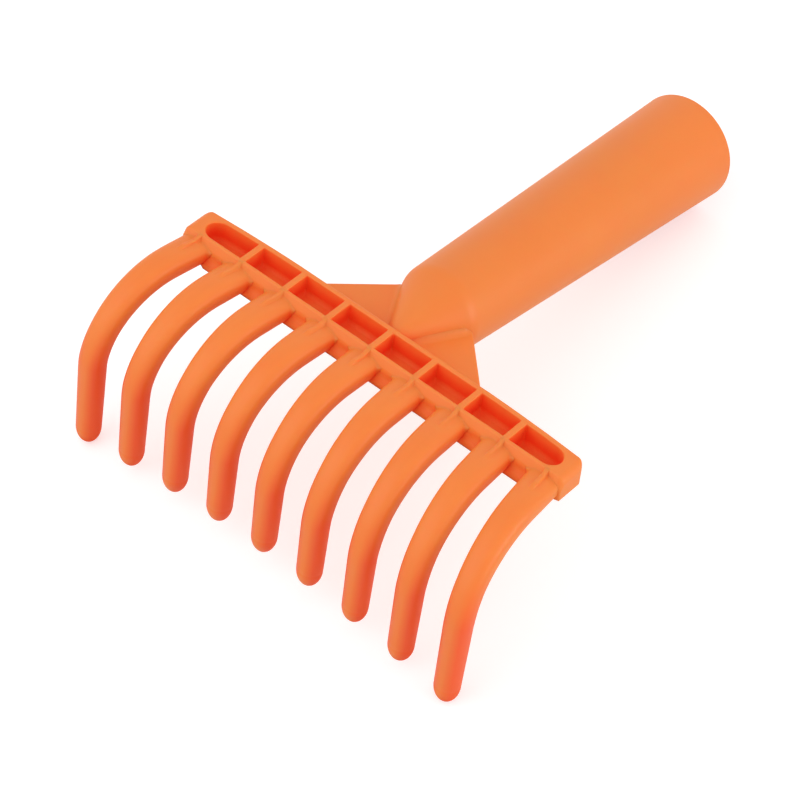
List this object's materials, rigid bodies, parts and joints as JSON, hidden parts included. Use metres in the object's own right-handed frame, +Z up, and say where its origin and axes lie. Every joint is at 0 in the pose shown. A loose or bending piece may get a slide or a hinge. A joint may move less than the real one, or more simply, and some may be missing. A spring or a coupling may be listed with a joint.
{
  "type": "sand rake",
  "caption": "Hand rake head: a row of curved, round-tipped tines on a pocketed crossbar, with a flared round socket behind it that takes a pole or is held as a short handle.",
  "frame": {"origin": "on the floor, below the centre of the bounding box", "axes": "+Z up, +Y along the socket from the crossbar towards its open end, +X along the crossbar; the part stands on its two outer tine tips and the rim of the socket"},
  "size_m": [0.13, 0.1792, 0.0508],
  "materials": {
    "body": "satin orange plastic"
  },
  "bodies": {
    "root": {"crossbar": "body", "pocket_divider_1": "body", "pocket_divider_2": "body", "pocket_divider_3": "body", "pocket_divider_4": "body", "pocket_divider_5": "body", "pocket_divider_6": "body", "pocket_divider_7": "body", "tine_1": "body", "tine_2": "body", "tine_3": "body", "tine_4": "body", "tine_5": "body", "tine_6": "body", "tine_7": "body", "tine_8": "body", "tine_9": "body", "tine_rib_1": "body", "tine_rib_2": "body", "tine_rib_3": "body", "tine_rib_4": "body", "tine_rib_5": "body", "tine_rib_6": "body", "tine_rib_7": "body", "tine_rib_8": "body", "tine_rib_9": "body", "neck_plate_left": "body", "neck_plate_right": "body", "socket_nose": "body", "handle_socket": "body"}
  },
  "joints": []
}
